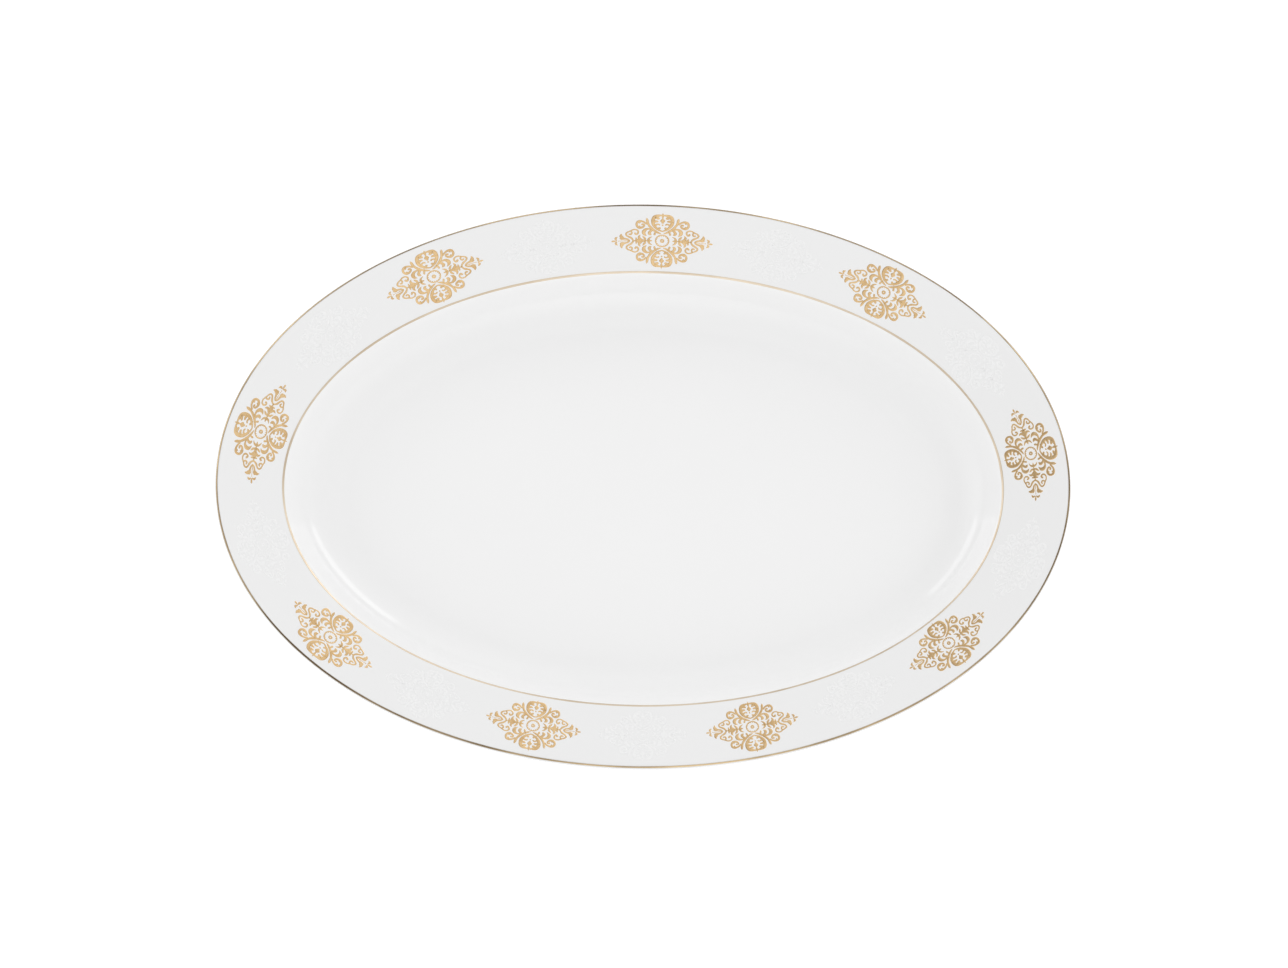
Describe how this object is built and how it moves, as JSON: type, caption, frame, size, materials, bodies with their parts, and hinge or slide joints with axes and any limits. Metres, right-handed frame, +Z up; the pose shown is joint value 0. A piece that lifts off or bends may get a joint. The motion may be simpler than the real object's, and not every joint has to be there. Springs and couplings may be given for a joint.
{
  "type": "serving platter",
  "caption": "Oval white china serving platter with a sloping rim, a shallow well, a foot ring, gilt lines on lip and verge, and gilt and white damask medallions round the rim.",
  "frame": {"origin": "centre of the bounding box at its bottom: the middle of the table plane under the foot ring", "axes": "+X along the platter's length, +Y along its width towards the side that is farther from the viewer, +Z up out of the well"},
  "size_m": [0.3602, 0.2462, 0.0289],
  "materials": {
    "porcelain": "clear gloss glaze over white porcelain",
    "gilding": "satin fired gold",
    "white_enamel": "satin white relief enamel"
  },
  "bodies": {
    "root": {"platter_body": "porcelain", "lip_line": "gilding", "verge_line": "gilding", "gilt_medallion_1": "gilding", "gilt_medallion_2": "gilding", "gilt_medallion_3": "gilding", "gilt_medallion_4": "gilding", "gilt_medallion_5": "gilding", "gilt_medallion_6": "gilding", "gilt_medallion_7": "gilding", "gilt_medallion_8": "gilding", "gilt_medallion_9": "gilding", "white_medallion_1": "white_enamel", "white_medallion_2": "white_enamel", "white_medallion_3": "white_enamel", "white_medallion_4": "white_enamel", "white_medallion_5": "white_enamel", "white_medallion_6": "white_enamel", "white_medallion_7": "white_enamel", "white_medallion_8": "white_enamel", "white_medallion_9": "white_enamel"}
  },
  "joints": []
}
